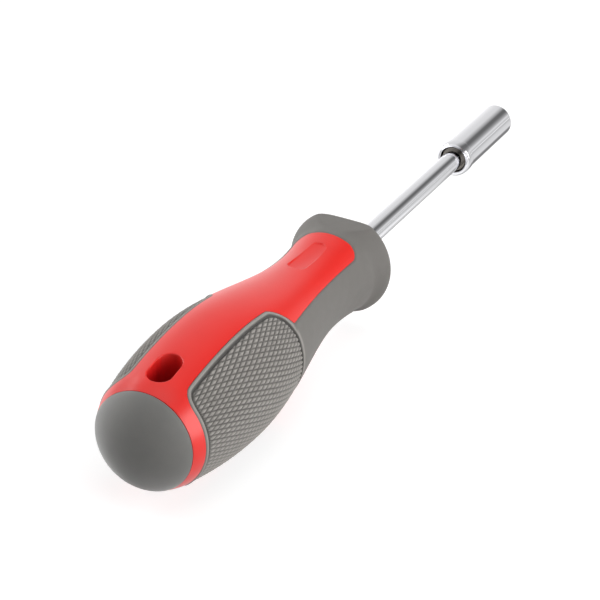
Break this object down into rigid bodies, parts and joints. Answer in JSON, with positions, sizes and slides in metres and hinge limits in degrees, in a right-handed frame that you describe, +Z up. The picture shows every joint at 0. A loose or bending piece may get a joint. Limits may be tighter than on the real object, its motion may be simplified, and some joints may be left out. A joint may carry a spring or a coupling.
{
  "type": "bit holder screwdriver",
  "caption": "Screwdriver with a two-colour overmoulded handle and a round shaft that ends in a magnetic quick-release holder for hexagon bits.",
  "frame": {"origin": "on the tool's axis at the mouth of the bit socket", "axes": "+X along the axis from the handle to the bit, +Z up through the red strip and the hanging hole, +Y to the left grip pad seen from behind"},
  "size_m": [0.235, 0.0346, 0.0358],
  "materials": {
    "red_plastic": "moulded polypropylene, satin",
    "grey_rubber": "soft moulded thermoplastic rubber with a diamond texture on the pads",
    "cap_rubber": "soft moulded thermoplastic rubber, fine matt",
    "shaft_chrome": "bright chrome plating on drawn steel",
    "sleeve_chrome": "bright chrome plating on turned steel",
    "body_steel": "turned and hardened steel",
    "magnet_nickel": "nickel-plated sintered magnet",
    "ball_steel": "polished bearing steel",
    "spring_steel": "drawn spring wire, oiled"
  },
  "bodies": {
    "handle": {"handle_core": "red_plastic", "grip": "grey_rubber", "end_cap": "cap_rubber", "shaft": "shaft_chrome", "chuck_body": "body_steel", "magnet": "magnet_nickel", "sleeve_spring": "spring_steel", "spring_washer": "body_steel", "snap_ring": "spring_steel"},
    "sleeve": {"release_sleeve": "sleeve_chrome"},
    "ball": {"locking_ball": "ball_steel"}
  },
  "joints": [
    {"name": "sleeve_slide", "type": "slide", "parent": "handle", "child": "sleeve", "axis": [-1, 0, 0], "range_m": [0, 0.004], "stiffness_N_per_m": 500, "springref_m": -0.006, "deforming": ["sleeve_spring"]},
    {"name": "ball_lift", "type": "slide", "parent": "handle", "child": "ball", "axis": [0, 1, 0], "range_m": [0, 0.00045]}
  ],
  "couplings": [
    {"joint": "ball_lift", "follows": "sleeve_slide", "ratio": 0.1125}
  ]
}
